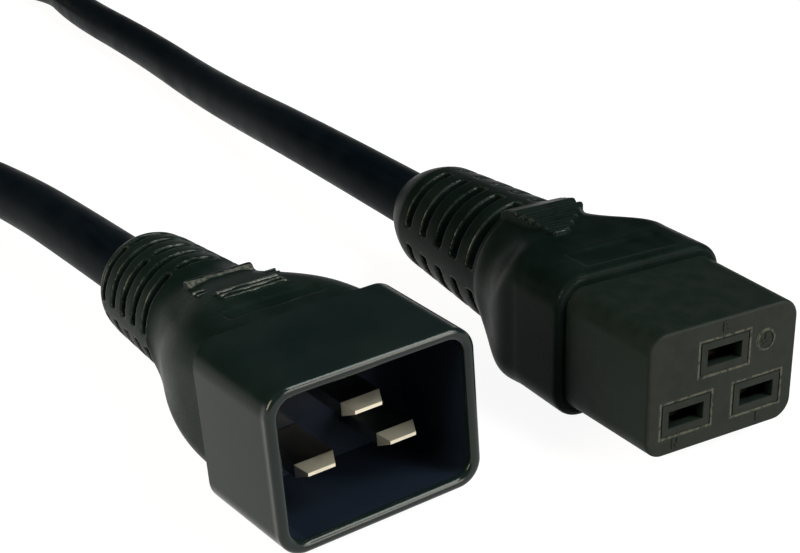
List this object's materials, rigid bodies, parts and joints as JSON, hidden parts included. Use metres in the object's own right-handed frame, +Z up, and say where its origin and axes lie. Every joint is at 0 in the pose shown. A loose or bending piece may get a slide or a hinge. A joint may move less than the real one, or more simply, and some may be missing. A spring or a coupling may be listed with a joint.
{
  "type": "power cord",
  "caption": "Short heavy power cord: an oblong moulded connector with slotted contacts on one end, a shrouded plug with flat blades on the other, joined by a round black cable.",
  "frame": {"origin": "on the surface the connector lies on, under the middle of the C19 connector's length", "axes": "+X out of the C19 connector's contact face along its axis, +Y to the line contact's side, +Z up, towards the earth contact and the thumb grip"},
  "size_m": [0.434, 0.1361, 0.0262],
  "materials": {
    "cord_pvc": "moulded black PVC, fine even grain, satin",
    "plug_pvc": "moulded black PVC, fine even grain, satin",
    "contact_block": "dark grey-black moulded thermoplastic, matte spark-eroded face",
    "shroud": "black moulded thermoplastic, glossy rolled lip, satin walls",
    "cable_jacket": "black PVC jacket, smooth satin",
    "inner_mould": "grey inner moulding, never seen",
    "spring_brass": "bright stamped spring brass",
    "nickel_blade": "nickel-plated brass blade, warm silver, stamped edges",
    "copper_strands": "bare twisted copper",
    "core_line": "black core insulation",
    "core_neutral": "white core insulation",
    "core_earth": "green core insulation"
  },
  "bodies": {
    "root": {"c19_overmould": "cord_pvc", "c19_contact_block": "contact_block", "c20_shroud": "shroud", "c20_overmould": "plug_pvc", "power_cable": "cable_jacket", "c19_inner_mould": "inner_mould", "c20_inner_mould": "inner_mould", "c19_line_receptacle": "spring_brass", "c20_line_blade": "nickel_blade", "c19_line_core": "core_line", "c19_line_strands": "copper_strands", "c20_line_core": "core_line", "c20_line_strands": "copper_strands", "c19_neutral_receptacle": "spring_brass", "c20_neutral_blade": "nickel_blade", "c19_neutral_core": "core_neutral", "c19_neutral_strands": "copper_strands", "c20_neutral_core": "core_neutral", "c20_neutral_strands": "copper_strands", "c19_earth_receptacle": "spring_brass", "c20_earth_blade": "nickel_blade", "c19_earth_core": "core_earth", "c19_earth_strands": "copper_strands", "c20_earth_core": "core_earth", "c20_earth_strands": "copper_strands"}
  },
  "joints": []
}
